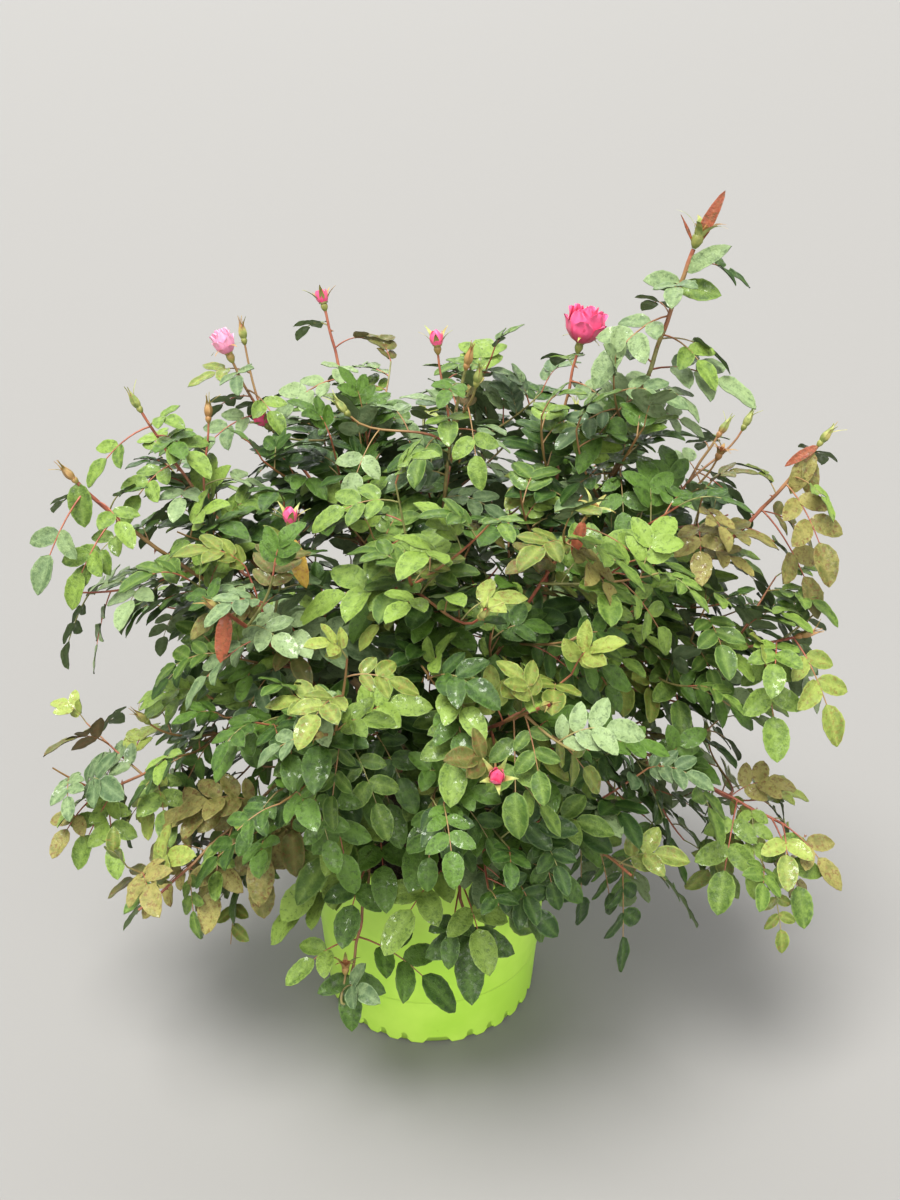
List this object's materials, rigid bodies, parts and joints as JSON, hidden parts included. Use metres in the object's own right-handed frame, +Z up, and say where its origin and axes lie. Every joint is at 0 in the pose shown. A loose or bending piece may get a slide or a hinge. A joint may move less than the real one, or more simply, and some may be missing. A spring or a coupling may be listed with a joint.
{
  "type": "potted rose bush",
  "caption": "Bushy shrub rose in a lime-green nursery pot, with arching leafy canes, buds and one open bloom.",
  "frame": {"origin": "centre of the pot's flat underside, on the ground", "axes": "+Z up along the pot's axis, -Y towards the side the picture shows, +X to its right"},
  "size_m": [0.7574, 0.6308, 0.8171],
  "materials": {
    "pot_plastic": "lime-green moulded plastic, satin, slightly scuffed",
    "potting_mix": "damp bark potting mix",
    "old_bark": "rough grey-brown bark",
    "cane_bark": "smooth olive bark with scattered prickles",
    "foliage": "wet glossy rose leaves"
  },
  "bodies": {
    "root": {"cane_back_left": "cane_bark", "cane_back_low": "cane_bark", "cane_back_low_left": "cane_bark", "cane_back_low_right": "cane_bark", "cane_back_middle": "cane_bark", "cane_back_right": "cane_bark", "cane_back_top": "cane_bark", "cane_back_upper": "cane_bark", "cane_centre_top": "cane_bark", "cane_front_hanging_left": "cane_bark", "cane_front_hanging_right": "cane_bark", "cane_front_left": "cane_bark", "cane_front_right": "cane_bark", "cane_front_top": "cane_bark", "cane_left_bloom": "cane_bark", "cane_left_far": "cane_bark", "cane_left_front": "cane_bark", "cane_left_hanging": "cane_bark", "cane_left_low": "cane_bark", "cane_left_upper": "cane_bark", "cane_open_bloom": "cane_bark", "cane_right_buds": "cane_bark", "cane_right_far": "cane_bark", "cane_right_front_low": "cane_bark", "cane_right_front_top": "cane_bark", "cane_right_low": "cane_bark", "cane_right_middle": "cane_bark", "cane_right_tall": "cane_bark", "foliage_back_left": "foliage", "foliage_back_low": "foliage", "foliage_back_low_left": "foliage", "foliage_back_low_right": "foliage", "foliage_back_middle": "foliage", "foliage_back_right": "foliage", "foliage_back_top": "foliage", "foliage_back_upper": "foliage", "foliage_centre_top": "foliage", "foliage_front_hanging_left": "foliage", "foliage_front_hanging_right": "foliage", "foliage_front_left": "foliage", "foliage_front_right": "foliage", "foliage_front_top": "foliage", "foliage_left_bloom": "foliage", "foliage_left_far": "foliage", "foliage_left_front": "foliage", "foliage_left_hanging": "foliage", "foliage_left_low": "foliage", "foliage_left_upper": "foliage", "foliage_open_bloom": "foliage", "foliage_right_buds": "foliage", "foliage_right_far": "foliage", "foliage_right_front_low": "foliage", "foliage_right_front_top": "foliage", "foliage_right_low": "foliage", "foliage_right_middle": "foliage", "foliage_right_tall": "foliage", "pot": "pot_plastic", "soil": "potting_mix", "stem_base": "old_bark"}
  },
  "joints": []
}
